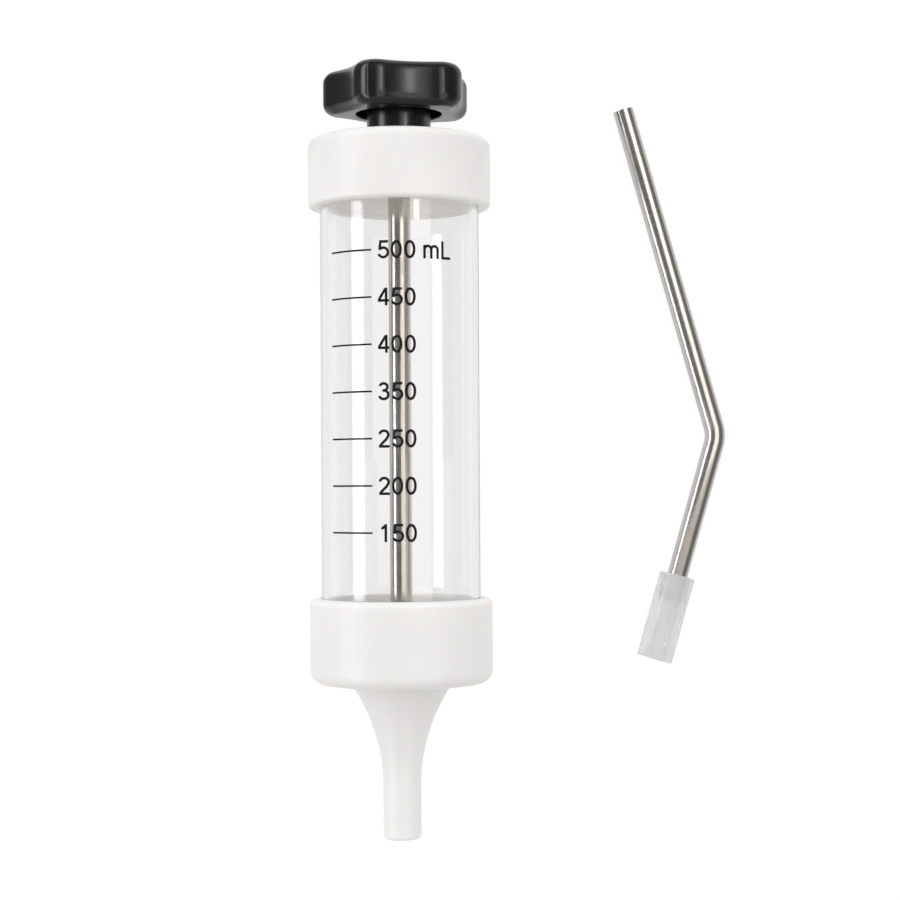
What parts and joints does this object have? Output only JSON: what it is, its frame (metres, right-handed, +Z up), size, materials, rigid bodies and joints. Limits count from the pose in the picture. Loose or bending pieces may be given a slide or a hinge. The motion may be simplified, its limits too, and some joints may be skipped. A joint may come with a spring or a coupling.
{
  "type": "livestock drencher",
  "caption": "Hand drenching syringe with a clear graduated barrel, white screw caps, star knob on a steel plunger rod, trumpet nozzle and a separate bent steel drench pipe with a soft tip.",
  "frame": {"origin": "on the table under the middle of the whole part's box, as the drencher lies with its pipe beside it", "axes": "+Y along the barrel from the nozzle to the knob, +X towards the drench pipe, +Z up from the table"},
  "size_m": [0.1722, 0.3096, 0.0735],
  "materials": {
    "clear_barrel": "clear polycarbonate tube",
    "white_nylon": "satin white moulded nylon",
    "black_knob": "fine grained black moulding",
    "rod_steel": "polished stainless rod",
    "pipe_steel": "polished stainless tube",
    "steel": "plain stainless hardware",
    "brass": "turned brass",
    "black_rubber": "matt nitrile rubber",
    "soft_silicone": "cloudy clear silicone"
  },
  "bodies": {
    "barrel": {"barrel_tube": "clear_barrel"},
    "guide": {"guide_bush": "white_nylon", "guide_washer": "steel", "guide_clip": "steel"},
    "top_cap": {"top_cap": "white_nylon"},
    "piston": {"piston_core": "white_nylon", "piston_ring_lower": "black_rubber", "piston_ring_upper": "black_rubber", "piston_plate": "steel"},
    "plunger": {"plunger_rod": "rod_steel", "rod_collar": "rod_steel", "knob": "black_knob", "knob_insert": "brass", "piston_washer": "steel", "piston_nut": "steel"},
    "nozzle": {"nozzle": "white_nylon", "nozzle_gasket": "black_rubber", "nozzle_grip_ring": "black_rubber"},
    "bottom_cap": {"bottom_cap": "white_nylon"},
    "drench_pipe": {"drench_pipe": "pipe_steel"},
    "soft_tip": {"soft_tip": "soft_silicone"}
  },
  "joints": [
    {"name": "top_cap_lift", "type": "slide", "parent": "barrel", "child": "guide", "axis": [0, 1, 0], "range_m": [0, 0.02201]},
    {"name": "top_cap_turn", "type": "hinge", "parent": "guide", "child": "top_cap", "pos_m": [-0.04935, 0.12685, 0.03675], "axis": [0, 1, 0], "range_deg": [0, 1320]},
    {"name": "plunger_slide", "type": "slide", "parent": "guide", "child": "piston", "axis": [0, 1, 0], "range_m": [0, 0.17695]},
    {"name": "knob_turn", "type": "hinge", "parent": "piston", "child": "plunger", "pos_m": [-0.04935, 0.13735, 0.03675], "axis": [0, 1, 0], "continuous": true},
    {"name": "nozzle_drop", "type": "slide", "parent": "barrel", "child": "nozzle", "axis": [0, -1, 0], "range_m": [0, 0.02651]},
    {"name": "bottom_cap_turn", "type": "hinge", "parent": "nozzle", "child": "bottom_cap", "pos_m": [-0.04935, -0.09175, 0.03675], "axis": [0, -1, 0], "range_deg": [0, 1590]},
    {"name": "drench_pipe_lift", "type": "slide", "parent": "barrel", "child": "drench_pipe", "axis": [0, 0, 1], "range_m": [0, 0.1]},
    {"name": "soft_tip_pull", "type": "slide", "parent": "drench_pipe", "child": "soft_tip", "axis": [-0.2782, -0.9591, 0.0525], "range_m": [0, 0.015]}
  ],
  "couplings": [
    {"joint": "top_cap_lift", "follows": "top_cap_turn", "m_per_rad": 0.00095493},
    {"joint": "nozzle_drop", "follows": "bottom_cap_turn", "m_per_rad": 0.00095493}
  ]
}
